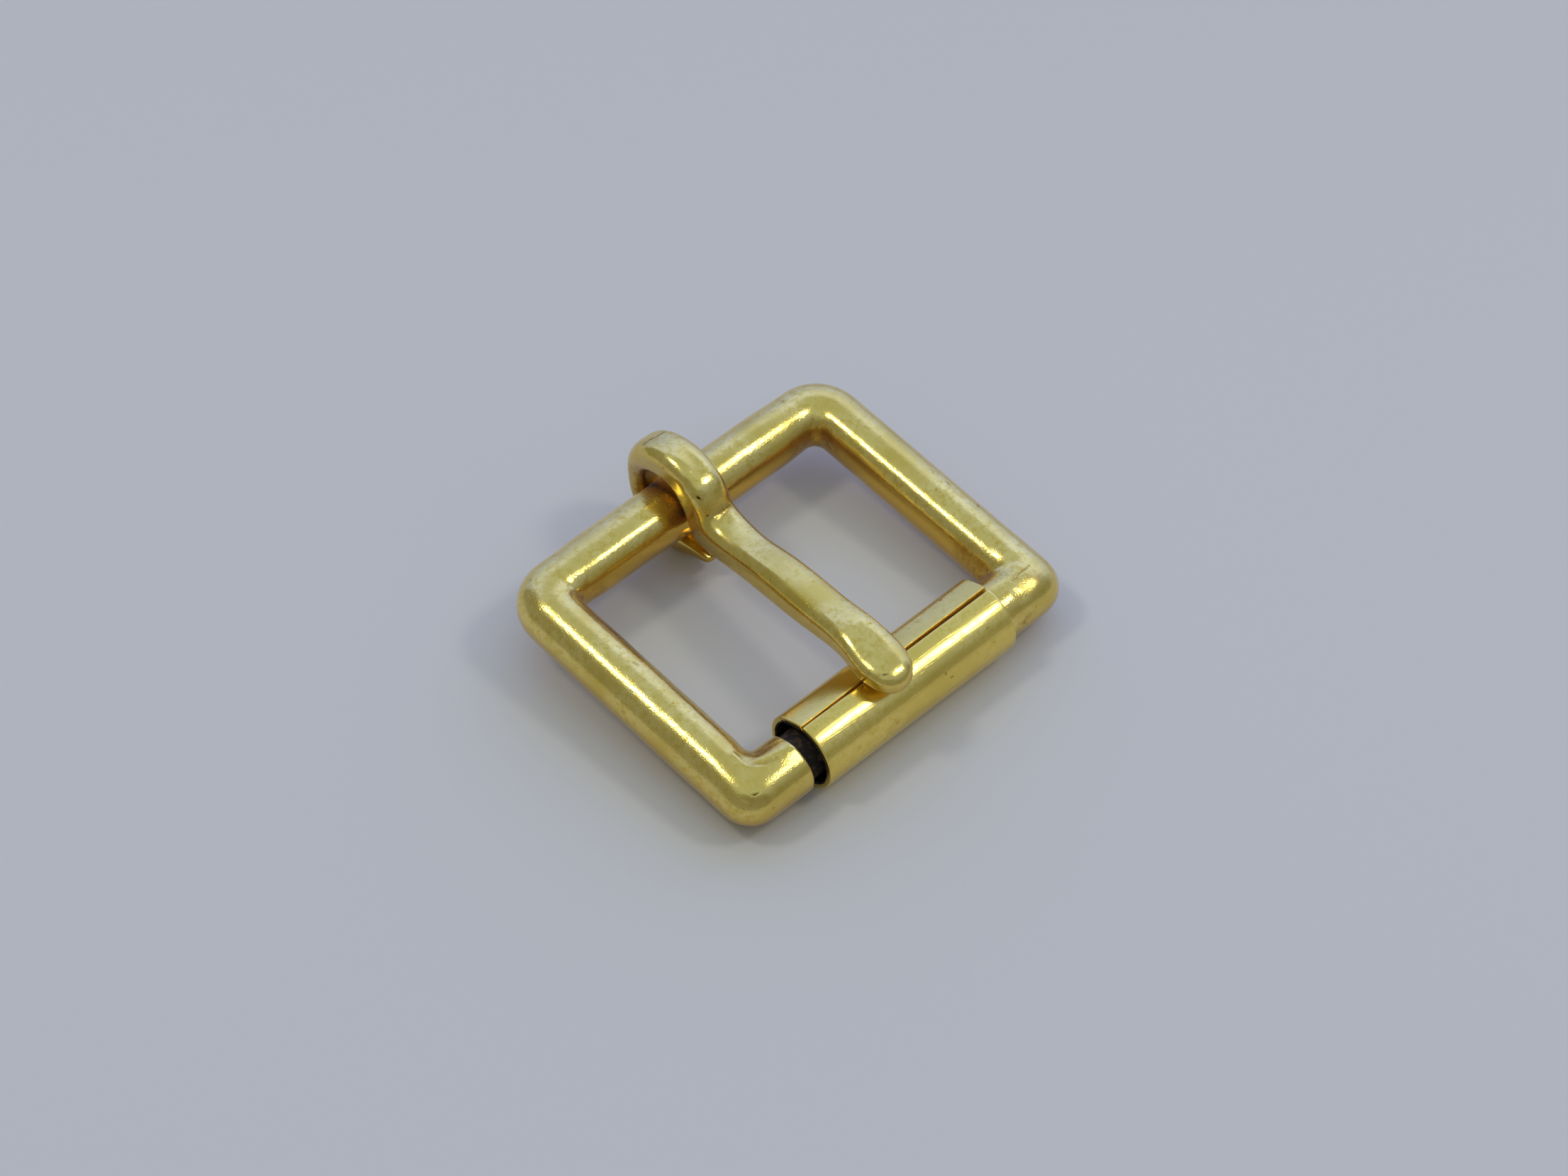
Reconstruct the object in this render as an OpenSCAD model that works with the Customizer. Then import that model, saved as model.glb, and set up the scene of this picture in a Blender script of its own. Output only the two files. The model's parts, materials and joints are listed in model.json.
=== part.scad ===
// Roller buckle for a one inch strap, as it lies on a flat surface: a cast
// frame of round bar, a sheet metal roller loose on its front bar, and a
// tongue whose open loop turns on its hinge bar.
// X runs along the bars, the hinge bar is towards +Y and the roller towards
// -Y. The origin is on the surface, under the middle of the whole buckle.

/* [Frame] */
// Width between the side bars, which is the strap's width
strap_w = 25.4; // [20:0.1:40]
// Distance between the axes of the hinge bar and the front bar
bar_spacing = 24; // [20:0.1:36]
// Thickness of the side bars
bar_d = 4.8; // [3.6:0.05:6]
// Thickness of the hinge bar between its tapers
hinge_d = 4.98; // [3.8:0.05:6]
// Length of the taper at each end of the hinge bar
hinge_taper_l = 2; // [0.5:0.1:4]
// Radius of the bends beside the hinge bar, along the middle of the bar
corner_r = 1.8; // [1:0.05:2.4]
// Radius of the front corners on their outside
front_bend_out = 2.6; // [1.5:0.05:4]
// Radius of the front corners on their inside
front_bend_in = 0.7; // [0.3:0.05:1.2]
// Length over which each side bar thickens before its front corner
swell_l = 2; // [1:0.1:5]
// How far each stub of the front bar stands inside the strap's width
stub_l = 2.2; // [1:0.05:4]
// From the front bar's axis to the stubs' outer side
stub_out = 2.72; // [2:0.01:3.2]
// From the front bar's axis to the stubs' inner side
stub_in = 2.42; // [2:0.01:3]
// Thickness of the stubs, across the frame
stub_t = 5.2; // [4:0.05:6]
// Chamfer at the end of each stub
stub_chamfer = 0.15; // [0.05:0.05:0.3]

/* [Roller] */
// Outer diameter of the roller
roller_d = 6.52; // [6:0.02:9]
// Thickness of the roller's sheet
roller_wall = 0.55; // [0.3:0.05:0.7]
// Free play along the front bar, both ends together
roller_play = 1.05; // [0.3:0.05:3]
// Gap that is left at the right end, where the roller has slid to
roller_end_gap = 0.1; // [0.05:0.01:0.15]
// How far the front bar's core hangs below the roller's axis
core_drop = 0.25; // [0.05:0.01:0.3]
// Least gap between the core and the roller as the roller turns
core_clearance = 0.11; // [0.05:0.01:0.4]
// Depth of the flat that the sheet's edge keeps beside the seam
flat_depth = 0.25; // [0.05:0.01:0.4]
// Where the seam is round the roller, in degrees from +Y over the top
seam_angle = 91; // [60:1:130]
// Opening of the seam at the left end
seam_w_left = 0.12; // [0.05:0.01:0.5]
// Opening of the seam at the right end
seam_w_right = 0.34; // [0.05:0.01:0.6]

/* [Tongue loop] */
// Radius by which the loop is larger than the hinge bar
loop_play = 0.59; // [0.3:0.01:1.2]
// Least gap between the loop and the hinge bar
loop_seat_gap = 0.08; // [0.05:0.01:0.15]
// Thickness of the loop's metal over the hinge bar
loop_wall = 3.1; // [2:0.05:3.6]
// Thickness of the loop's metal where it rests on the surface
foot_wall = 2.22; // [1.6:0.01:2.8]
// Width of the loop along the hinge bar
loop_w = 3.5; // [2.8:0.05:5]
// Length of the free end, forward from the loop's lowest point
free_end_l = 4.5; // [2.5:0.1:6]
// How far the loop stands to the left of the middle of the hinge bar
loop_aside = 0.18; // [0:0.01:4]
// Where the loop stands off the bar most, in degrees from forward over the top
loop_lean = 110; // [60:1:150]

/* [Tongue shank] */
// Width of the shank half way along
shank_w = 3.7; // [3:0.05:5]
// Thickness of the shank half way along
shank_t = 3.4; // [2.4:0.05:4.2]
// Width of the tip over the roller
tip_w = 4.3; // [3:0.05:5.5]
// Thickness of the tip over the roller
tip_t = 2.5; // [1.6:0.05:3]
// How far the tip reaches past the roller's axis
tip_overhang = 3.2; // [1.5:0.05:3.5]
// Gap between the resting tip and the roller
tip_gap = 0.06; // [0.03:0.01:0.2]
// How far the tip stands to the left of the loop
tip_aside = 1.31; // [0:0.01:2]

/* [Hidden] */

// Facets of the round solids, and of the rings that shape the tongue and the front corners
round_fn = 64;
ring_sides = 28;
// Lengthwise steps of the tongue between two keys, and of a front corner
steps_per_key = 3;
corner_steps = 11;
// Straight run between a front corner's inner bend and its stub
bend_lead = 0.6;
// Size of the ring by which a front corner starts inside the side bar
sunk_ring = 0.96;
// How square the tongue's sections are, where 2 is an ellipse
section_power = 2.25;
// How far the loop's sections reach into the bore that is cut from them
bore_cut = 0.15;
// Length by which a cut runs past what it cuts
overrun = 1;
// The loop's metal behind the hinge bar, as a share of loop_wall
back_share = 0.61;

hinge_r = hinge_d / 2;
bar_r = bar_d / 2;
roller_r = roller_d / 2;
roller_in_r = roller_r - roller_wall;
core_r = roller_in_r - flat_depth - core_drop - core_clearance;
inner_x = strap_w / 2;
side_x = inner_x + bar_r;
outer_x = side_x + bar_r;
shoulder_x = strap_w / 2 - stub_l;
roller_l = 2 * shoulder_x - roller_play;
roller_x = shoulder_x - roller_end_gap - roller_l;
half_l = bar_spacing / 2;
end_x = side_x - corner_r;
taper_x = end_x - hinge_taper_l;
stub_in_y = stub_in - half_l;
stub_out_y = -stub_out - half_l;
swell_y = stub_in_y + swell_l;
bend_x = inner_x - front_bend_in - bend_lead;

// The loop is loose round the hinge bar, which sits low in it
bore_r = hinge_r + loop_play;
bore_forward = (loop_play - loop_seat_gap) * cos(loop_lean);
bore_up = (loop_play - loop_seat_gap) * sin(loop_lean);

// Heights above the surface: the roller and the loop's foot both rest on it
roller_z = roller_r;
core_z = roller_z - core_drop;
hinge_z = foot_wall + bore_r - bore_up;
frame_tilt = asin((hinge_z - core_z) / bar_spacing);

// Places along Y, with the whole buckle centred on the origin
plan_spacing = bar_spacing * cos(frame_tilt);
loop_back = bore_r - bore_forward + loop_wall * back_share;
hinge_y = (plan_spacing + roller_r - loop_back) / 2;
front_y = hinge_y - plan_spacing;

// The tongue's middle line is drawn in [forward, up] from the hinge axis
roller_up = roller_z - hinge_z;
tip_up = roller_up + roller_r + tip_gap + tip_t / 2;
root_forward = bore_forward + bore_r;
bore_floor = bore_up - bore_r;

// Free end: [share of its length, share of foot_wall, share of loop_w]
free_end_rows = [
    [1.00, 0.12, 0.12],
    [0.94, 0.26, 0.27],
    [0.80, 0.42, 0.40],
    [0.55, 0.66, 0.51],
    [0.27, 0.875, 0.60],
];

// Loop: [degrees from forward over the top, share of wall, share of loop_w].
// The wall is foot_wall below the axis and loop_wall above it
loop_rows = [
    [270, 1.00, 0.66],
    [240, 0.86, 0.72],
    [210, 0.76, 0.78],
    [180, back_share, 0.84],
    [150, 0.71, 0.92],
    [120, 0.87, 0.98],
    [90, 1.00, 1.00],
    [66, 1.06, 1.00],
    [47, 0.88, 1.05],
];

// Shank: [share of the way from the loop's root to the roller's axis,
// share of the tip's height, share of shank_w, share of shank_t]
shank_rows = [
    [0.055, 0.96, 0.98, 0.94],
    [0.115, 0.50, 1.02, 1.02],
    [0.210, 0.51, 0.98, 0.95],
    [0.313, 0.58, 0.93, 0.94],
    [0.461, 0.76, 0.99, 1.00],
    [0.634, 0.88, 1.00, 0.97],
    [0.757, 0.99, 0.98, 0.88],
    [0.885, 1.12, 1.04, 0.80],
];

// Tip: [share of the overhang past the roller's axis, share of the tip's
// height, share of tip_w, share of tip_t]
tip_rows = [
    [0.00, 1.00, 1.00, 1.00],
    [0.36, 0.99, 0.95, 0.94],
    [0.68, 0.96, 0.80, 0.82],
    [0.90, 0.91, 0.52, 0.58],
    [1.00, 0.88, 0.16, 0.20],
];

loop_x = -loop_aside;

// Each key is [forward, up, half width, half thickness, aside]
function drift(forward) = loop_x - tip_aside * max(0, forward) / plan_spacing;

function free_end_key(row) =
    let(forward = bore_forward + row[0] * free_end_l, t = row[1] * foot_wall)
    [forward, bore_floor - t / 2, row[2] * loop_w / 2, t / 2, loop_x];

function wall_at(angle) = angle > 180 ? foot_wall : loop_wall;

function loop_key(row) =
    let(t = row[1] * wall_at(row[0]) + bore_cut, r = bore_r - bore_cut + t / 2)
    [bore_forward + r * cos(row[0]), bore_up + r * sin(row[0]), row[2] * loop_w / 2, t / 2, loop_x];

function shank_key(row) =
    let(forward = root_forward + row[0] * (plan_spacing - root_forward))
    [forward, row[1] * tip_up, row[2] * shank_w / 2, row[3] * shank_t / 2, drift(forward)];

function tip_key(row) =
    let(forward = plan_spacing + row[0] * tip_overhang)
    [forward, row[1] * tip_up, row[2] * tip_w / 2, row[3] * tip_t / 2, drift(forward)];

tongue_keys = concat(
    [for (row = free_end_rows) free_end_key(row)],
    [for (row = loop_rows) loop_key(row)],
    [for (row = shank_rows) shank_key(row)],
    [for (row = tip_rows) tip_key(row)]
);

// A smooth curve through four keys, from the second (t = 0) to the third
function curve(a, b, c, d, t) =
    (2 * b + (c - a) * t + (2 * a - 5 * b + 4 * c - d) * t * t + (3 * b - a - 3 * c + d) * t * t * t) / 2;

last_key = len(tongue_keys) - 1;
function key(i) = tongue_keys[min(max(i, 0), last_key)];
sections = concat(
    [for (i = [0 : last_key - 1], s = [0 : steps_per_key - 1])
        curve(key(i - 1), key(i), key(i + 1), key(i + 2), s / steps_per_key)],
    [tongue_keys[last_key]]
);
last_section = len(sections) - 1;

// Direction of the middle line at a section, in [forward, up]
function heading(i) =
    let(step = sections[min(i + 1, last_section)] - sections[max(i - 1, 0)])
    [step[0], step[1]] / norm([step[0], step[1]]);

function squared(value) = sign(value) * pow(abs(value), 2 / section_power);

function section_ring(i) =
    let(s = sections[i], d = heading(i))
    [for (k = [0 : ring_sides - 1])
        let(angle = 360 * k / ring_sides, h = s[3] * squared(sin(angle)))
        [s[4] + s[2] * squared(cos(angle)), hinge_y - s[0] + d[1] * h, hinge_z + s[1] + d[0] * h]];

module x_cylinder(r, l, r2 = undef) {
    rotate([0, 90, 0])
        cylinder(r1 = r, r2 = is_undef(r2) ? r : r2, h = l, $fn = round_fn);
}

// A quarter bend of the frame's bar, which joins +X bar to +Y bar
module bend() {
    translate([-corner_r, -corner_r, 0])
        rotate_extrude(angle = 90, $fn = round_fn)
            intersection() {
                translate([corner_r, 0])
                    circle(r = bar_r, $fn = round_fn);
                translate([0, -bar_r])
                    square([corner_r + bar_r, bar_d]);
            }
}

// A point on the way from a to b round the corner c, whose bend has radius r
function bent(a, c, b, r, share) =
    let(
        in = (c - a) / norm(c - a),
        out = (b - c) / norm(b - c),
        straight = norm(c - a) - r,
        whole = straight + r * PI / 2 + norm(b - c) - r,
        way = share * whole,
        turned = (way - straight) / r * 180 / PI
    )
    turned < 0 ? a + in * way
    : turned > 90 ? b - out * (whole - way)
    : c + r * (out - in) + r * (in * sin(turned) - out * cos(turned));

function ease(share) = share * share * (3 - 2 * share);

// Front corner: [inner point, outer point, half thickness] of each ring, from
// the side bar to the stub's end
corner_rings = concat(
    [[[inner_x + bar_r * (1 - sunk_ring), swell_y + swell_l / 4],
        [outer_x - bar_r * (1 - sunk_ring), swell_y + swell_l / 4], bar_r * sunk_ring]],
    [for (i = [0 : corner_steps])
        let(share = i / corner_steps)
        [
            bent([inner_x, swell_y], [inner_x, stub_in_y], [bend_x, stub_in_y], front_bend_in, share),
            bent([outer_x, swell_y], [outer_x, stub_out_y], [bend_x, stub_out_y], front_bend_out, share),
            bar_r + (stub_t / 2 - bar_r) * ease(share),
        ]],
    [
        [[shoulder_x + stub_chamfer, stub_in_y], [shoulder_x + stub_chamfer, stub_out_y], stub_t / 2],
        [[shoulder_x, stub_in_y - stub_chamfer], [shoulder_x, stub_out_y + stub_chamfer], stub_t / 2 - stub_chamfer],
    ]
);

function corner_ring(ring) =
    let(middle = (ring[0] + ring[1]) / 2, reach = (ring[1] - ring[0]) / 2 / cos(180 / ring_sides))
    [for (k = [0 : ring_sides - 1])
        let(angle = 360 * (k + 0.5) / ring_sides, p = middle + reach * cos(angle))
        [p[0], p[1], ring[2] * sin(angle) / cos(180 / ring_sides)]];

// Triangles round the sides of a run of rings, and over its two ends
function ring_faces(last) = concat(
    [for (i = [0 : last - 1], k = [0 : ring_sides - 1])
        let(a = i * ring_sides + k, b = i * ring_sides + (k + 1) % ring_sides)
        each [[a, b + ring_sides, b], [a, a + ring_sides, b + ring_sides]]],
    [[for (k = [0 : ring_sides - 1]) k]],
    [[for (k = [ring_sides - 1 : -1 : 0]) last * ring_sides + k]]
);

// Half of the frame, drawn in its own plane for the side towards +X
module frame_half() {
    translate([side_x, half_l, 0])
        bend();
    translate([side_x, swell_y, 0])
        rotate([-90, 0, 0])
            cylinder(r = bar_r, h = half_l - corner_r - swell_y, $fn = round_fn);
    translate([taper_x, half_l, 0])
        x_cylinder(hinge_r, hinge_taper_l, bar_r);
    polyhedron([for (ring = corner_rings) each corner_ring(ring)], ring_faces(len(corner_rings) - 1));
}

module frame() {
    color("goldenrod")
        translate([0, (hinge_y + front_y) / 2, (hinge_z + core_z) / 2])
            rotate([frame_tilt, 0, 0]) {
                frame_half();
                mirror([1, 0, 0]) frame_half();
                translate([-taper_x, half_l, 0]) x_cylinder(hinge_r, 2 * taper_x);
                translate([-bend_x, -half_l, 0]) x_cylinder(core_r, 2 * bend_x);
            }
}

// A disc with the flat that the sheet's edge keeps beside the seam
module flat_disc(r, flat_r) {
    flat_angle = seam_angle - acos((roller_r - flat_depth) / roller_r);
    intersection() {
        circle(r = r, $fn = round_fn);
        rotate(flat_angle)
            translate([-roller_d, -roller_d])
                square([roller_d + flat_r, 2 * roller_d]);
    }
}

module seam() {
    rotate([seam_angle - 90, 0, 0])
        translate([roller_x, 0, core_r])
            linear_extrude(roller_r - core_r + overrun)
                polygon([
                    [-overrun, -seam_w_left / 2],
                    [roller_l + overrun, -seam_w_right / 2],
                    [roller_l + overrun, seam_w_right / 2],
                    [-overrun, seam_w_left / 2],
                ]);
}

module roller() {
    flat_r = roller_r - flat_depth;
    color("gold")
        translate([0, front_y, roller_z])
            difference() {
                translate([roller_x, 0, 0])
                    rotate([90, 0, 90])
                        linear_extrude(roller_l)
                            difference() {
                                flat_disc(roller_r, flat_r);
                                flat_disc(roller_in_r, flat_r - roller_wall);
                            }
                seam();
            }
}

module tongue() {
    color("darkkhaki")
        difference() {
            polyhedron([for (i = [0 : last_section]) each section_ring(i)], ring_faces(last_section));
            translate([loop_x - loop_w, hinge_y - bore_forward, hinge_z + bore_up])
                x_cylinder(bore_r, 2 * loop_w);
        }
}

frame();
roller();
tongue();
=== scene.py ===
import json
import math
import bmesh
import bpy
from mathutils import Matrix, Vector


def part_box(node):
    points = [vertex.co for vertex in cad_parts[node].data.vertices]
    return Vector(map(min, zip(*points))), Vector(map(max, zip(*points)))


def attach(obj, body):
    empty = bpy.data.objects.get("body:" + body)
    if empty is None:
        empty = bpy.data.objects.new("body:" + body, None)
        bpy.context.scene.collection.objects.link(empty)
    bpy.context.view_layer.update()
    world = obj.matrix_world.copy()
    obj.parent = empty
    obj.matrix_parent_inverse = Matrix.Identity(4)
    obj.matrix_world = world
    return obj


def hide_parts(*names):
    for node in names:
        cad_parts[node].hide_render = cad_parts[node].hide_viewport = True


# A worn brass roller buckle, lying on a pale floor under two soft lamps.
# Lengths are in metres, so sizes are written as millimetres times mm.
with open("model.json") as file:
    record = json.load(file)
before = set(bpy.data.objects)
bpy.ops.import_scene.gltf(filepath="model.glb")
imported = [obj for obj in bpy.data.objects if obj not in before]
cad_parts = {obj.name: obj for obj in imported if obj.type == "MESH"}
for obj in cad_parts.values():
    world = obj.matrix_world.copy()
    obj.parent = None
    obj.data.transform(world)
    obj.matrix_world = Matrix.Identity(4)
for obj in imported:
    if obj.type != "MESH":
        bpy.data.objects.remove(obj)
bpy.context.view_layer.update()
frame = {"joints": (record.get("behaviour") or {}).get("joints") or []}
mm = 0.001

joints = {joint["name"]: joint for joint in frame["joints"]}
hingeAt = Vector(joints["tongue_hinge"]["pos_m"])
rollerAt = Vector(joints["roller_spin"]["pos_m"])
print("frame loaded, hinge bar at", [round(c / mm, 2) for c in hingeAt])


# Working in edit mode

def startAlone():
    if bpy.context.object and bpy.context.object.mode != "OBJECT":
        bpy.ops.object.mode_set(mode="OBJECT")
    bpy.ops.object.select_all(action="DESELECT")


def openForEditing(piece):
    startAlone()
    bpy.context.view_layer.objects.active = piece
    bpy.ops.object.mode_set(mode="EDIT")


def backToObject(name):
    bpy.ops.object.mode_set(mode="OBJECT")
    piece = bpy.context.object
    piece.name = name
    piece.data.name = name
    return piece


def turn(axis, degrees, centre):
    # with no window the operator turns the other way round, hence the minus
    bpy.ops.transform.rotate(value=-math.radians(degrees), orient_axis=axis, center_override=centre)


def selectWhere(piece, kind, rule):
    bpy.ops.mesh.select_mode(type=kind)
    bpy.ops.mesh.select_all(action="DESELECT")
    mesh = bmesh.from_edit_mesh(piece.data)
    for part in {"VERT": mesh.verts, "EDGE": mesh.edges, "FACE": mesh.faces}[kind]:
        part.select_set(rule(part))
    mesh.select_flush_mode()
    bmesh.update_edit_mesh(piece.data)


def applyModifier(piece, kind, **settings):
    bpy.context.view_layer.objects.active = piece
    piece.select_set(True)
    bpy.ops.object.modifier_add(type=kind)
    modifier = piece.modifiers[-1]
    for name, value in settings.items():
        setattr(modifier, name, value)
    bpy.ops.object.modifier_apply(modifier=modifier.name)


def growRing(axis, across, old, new):
    # the selected ring is carried on to its next station, where it gets that station's size and turn
    bpy.ops.mesh.extrude_region_move(TRANSFORM_OT_translate={"value": new["at"] - old["at"]})
    turn(axis, -old["turn"], new["at"])
    size = Vector((1, 1, new["high"] / old["high"]))
    size[across] = new["wide"] / old["wide"]
    bpy.ops.transform.resize(value=size, center_override=new["at"])
    turn(axis, new["turn"], new["at"])


def smoothed(piece, levels):
    applyModifier(piece, "SUBSURF", levels=levels, render_levels=levels)
    bpy.ops.object.shade_smooth()


def roughened(piece, grain, depth):
    # the slow unevenness that hand polishing leaves on a casting
    cloud = bpy.data.textures.new(piece.name + "Unevenness", "CLOUDS")
    cloud.noise_scale = grain
    cloud.noise_depth = 1
    applyModifier(piece, "DISPLACE", texture=cloud, strength=depth, mid_level=0.5, texture_coords="LOCAL")


# How a mark is laid, in shares of its reach
wear = {
    "lineStep": 0.3,              # how far apart the points along its line are
    "fineReach": 0.25,            # millimetres: a mark that reaches less far is a fine one
    "fineMesh": 1.4,              # how far the finer mesh goes that a fine mark gets
    "crest": 0.35,                # what lies this close to the line is pushed in full
    "sharpCrest": 0.22,           # the same for a broad mark with straight flanks
}


def closeSteps(line, step):
    # the line's corners, in millimetres, filled in with points no further apart than the step
    points = [Vector(line[0]) * mm]
    for start, end in zip(line, line[1:]):
        start, end = Vector(start) * mm, Vector(end) * mm
        count = max(1, math.ceil((end - start).length / step))
        points += [start.lerp(end, (i + 1) / count) for i in range(count)]
    return points


def awayFrom(line, reach):
    # gives a place's distance from the line, as a share of the reach
    points = closeSteps(line, wear["lineStep"] * reach * mm)
    middle = sum(points, Vector()) / len(points)
    span = max((point - middle).length for point in points) + 2 * reach * mm

    def share(place):
        if (place - middle).length > span:
            return 2              # too far off to need its true share
        return min((place - point).length for point in points) / (reach * mm)

    return share


def worn(piece, marks):
    # each mark is a line, the push along it, how far the push reaches and how much dirt and painted shade the
    # place is given; one with straight flanks names its fall-off too, and lengths are in millimetres
    openForEditing(piece)
    for line, push, reach, dirtAndShade, *falloff in marks:
        away = awayFrom(line, reach)
        fine = reach < wear["fineReach"]
        if fine:
            selectWhere(piece, "FACE", lambda face: away(face.calc_center_median()) < wear["fineMesh"])
            bpy.ops.mesh.subdivide(number_cuts=2, smoothness=1)
        if any(push):
            crest = wear["sharpCrest"] if falloff and not fine else wear["crest"]
            selectWhere(piece, "VERT", lambda vert: away(vert.co) < crest)
            bpy.ops.transform.translate(value=Vector(push) * mm, use_proportional_edit=True,
                                        proportional_edit_falloff=falloff[0] if falloff else "SMOOTH",
                                        proportional_size=reach * mm)
    bpy.ops.object.mode_set(mode="OBJECT")
    amount = [0.0] * len(piece.data.vertices)
    for line, push, reach, dirtAndShade, *falloff in marks:
        if dirtAndShade:
            away = awayFrom(line, reach)
            for vert in piece.data.vertices:
                amount[vert.index] = max(amount[vert.index], dirtAndShade * (1 - away(vert.co) ** 2))
    piece.data.attributes.new("dirtAndShade", "FLOAT", "POINT").data.foreach_set("value", amount)
    print(piece.name, "worn at", len(marks), "places,", len(piece.data.polygons), "faces")


def ringSwell(sides):
    # a subdivided ring draws in by this share
    return 6 / (4 + 2 * math.cos(2 * math.pi / sides))


# Frame: one casting, a rectangle of round bar whose front bar is turned down to a core

castFrame = {
    "barRadius": 2.4 * mm,
    "hingeRadius": 2.49 * mm,
    "stubInner": 2.42 * mm,       # the stubs are a little thicker outwards than inwards
    "stubOuter": 2.72 * mm,
    "stubHigh": 2.6 * mm,
    "coreDrop": 0.25 * mm,        # the core hangs this far below the roller's axis
    "coreRadius": 2.1 * mm,
    "stubEnd": 10.5 * mm,         # from the middle to the end face of each stub
    "innerBend": 0.7 * mm,
    "stubInnerBend": 0.4 * mm,
    "hingeBend": 4.2 * mm,
    "stubBend": 2.6 * mm,
    "bendRun": 1.3 * mm,          # the rings of a back corner start and end this far from its inner point
    "frontRun": 2.0 * mm,         # and those of a front corner start this far off, where the bar swells
    "backSteps": 14,
    "sideSteps": 18,
    "bendSteps": 12,
    "sides": 24,
    "unevenGrain": 3.2 * mm,
    "unevenDepth": 0.05 * mm,
}


def bentPath(start, corner, end, radius, share):
    # along one edge, round its bend and along the next edge
    first, last = corner - start, end - corner
    straight = first.length - radius, last.length - radius
    along = share * (straight[0] + radius * math.pi / 2 + straight[1])
    if along < straight[0]:
        return start + first.normalized() * along
    angle = (along - straight[0]) / radius
    if angle < math.pi / 2:
        centre = corner - first.normalized() * radius + last.normalized() * radius
        return centre + radius * (first.normalized() * math.sin(angle) - last.normalized() * math.cos(angle))
    return end - last.normalized() * (straight[0] + radius * math.pi / 2 + straight[1] - along)


def cornerStations(inner, outer, bends, highs):
    # each ring of a corner spans from the inner edge to the outer one
    stations = []
    for step in range(castFrame["bendSteps"] + 1):
        share = step / castFrame["bendSteps"]
        a = bentPath(*[Vector(point + (0,)) for point in inner], bends[0], share)
        b = bentPath(*[Vector(point + (0,)) for point in outer], bends[1], share)
        out = b - a
        blend = share * share * (3 - 2 * share)
        stations.append({"at": (a + b) / 2, "turn": math.degrees(math.atan2(out.y, out.x)) - 90,
                         "wide": out.length / 2, "high": highs[0] + (highs[1] - highs[0]) * blend})
    return stations


def frameStations(sideX, halfSpacing):
    sizes = castFrame
    bar, hinge = sizes["barRadius"], sizes["hingeRadius"]
    stubInY, stubOutY = sizes["stubInner"] - halfSpacing, -sizes["stubOuter"] - halfSpacing
    innerX, outerX = sideX - bar, sideX + bar
    rings = []

    def straight(x, y, turned, wide, high=None):
        rings.append({"at": Vector((x, y, 0)), "turn": turned, "wide": wide, "high": high or wide})

    bendFrom = innerX - sizes["bendRun"]
    backSteps = sizes["backSteps"]
    for step in range(backSteps):
        thick = hinge if step < backSteps - 1 else (hinge + bar) / 2
        straight(bendFrom * step / backSteps, halfSpacing, 0, thick)
    backY = halfSpacing - bar - sizes["bendRun"]
    rings += cornerStations(
        ((bendFrom, halfSpacing - bar), (innerX, halfSpacing - bar), (innerX, backY)),
        ((bendFrom, halfSpacing + bar), (outerX, halfSpacing + bar), (outerX, backY)),
        (sizes["innerBend"], sizes["hingeBend"]), (bar, bar))
    frontY = stubInY + sizes["frontRun"]
    sideSteps = sizes["sideSteps"]
    for step in range(1, sideSteps):
        straight(sideX, backY + (frontY - backY) * step / sideSteps, -90, bar)
    rings += cornerStations(
        ((innerX, frontY), (innerX, stubInY), (bendFrom, stubInY)),
        ((outerX, frontY), (outerX, stubOutY), (bendFrom, stubOutY)),
        (sizes["stubInnerBend"], sizes["stubBend"]), (bar, sizes["stubHigh"]))
    # the stub's end with its rounded edge, then the core as far as the middle
    end = sizes["stubEnd"]
    for back, less in ((0.5, 0), (0.24, 0), (0.07, 0.05), (0.0, 0.2), (0.0, 0.5)):
        straight(end + back * mm, (stubInY + stubOutY) / 2, -180, (stubInY - stubOutY) / 2 - less * mm,
                 sizes["stubHigh"] - less * mm)
    for share in (0.99, 0.8, 0.6, 0.4, 0.2, 0.0):
        straight(end * share, -halfSpacing, -180, sizes["coreRadius"])
    return rings


def makeFrame():
    sizes = castFrame
    coreAt = rollerAt - Vector((0, 0, sizes["coreDrop"]))
    run = hingeAt - coreAt
    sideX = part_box("frame")[1].x - sizes["barRadius"]
    stations = frameStations(sideX, run.length / 2)
    startAlone()
    first = stations[0]
    bpy.ops.mesh.primitive_circle_add(vertices=sizes["sides"], radius=first["wide"], location=first["at"],
                                      rotation=(0, math.pi / 2, 0))
    bpy.ops.object.transform_apply(location=True, rotation=True, scale=True)
    bpy.ops.object.mode_set(mode="EDIT")
    bpy.ops.mesh.select_all(action="SELECT")
    for old, new in zip(stations, stations[1:]):
        growRing("Z", 1, old, new)
    piece = backToObject("castFrame")
    applyModifier(piece, "MIRROR", use_axis=(True, False, False), use_mirror_merge=True,
                  merge_threshold=0.001 * mm)
    bpy.ops.object.mode_set(mode="EDIT")
    bpy.ops.mesh.select_all(action="SELECT")
    # the height that the subdivision is going to take
    swell = ringSwell(sizes["sides"])
    bpy.ops.transform.resize(value=(1, 1, swell), center_override=(0, 0, 0))
    bpy.ops.mesh.normals_make_consistent(inside=False)
    bpy.ops.object.mode_set(mode="OBJECT")
    piece.rotation_euler.x = math.atan2(run.z, run.y)
    piece.location = (hingeAt + coreAt) / 2
    bpy.ops.object.transform_apply(location=True, rotation=True, scale=True)
    smoothed(piece, 2)
    roughened(piece, sizes["unevenGrain"], sizes["unevenDepth"])
    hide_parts("frame")
    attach(piece, "frame")
    print("frame made,", len(piece.data.polygons), "faces")
    return piece


castFramePiece = makeFrame()
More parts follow.
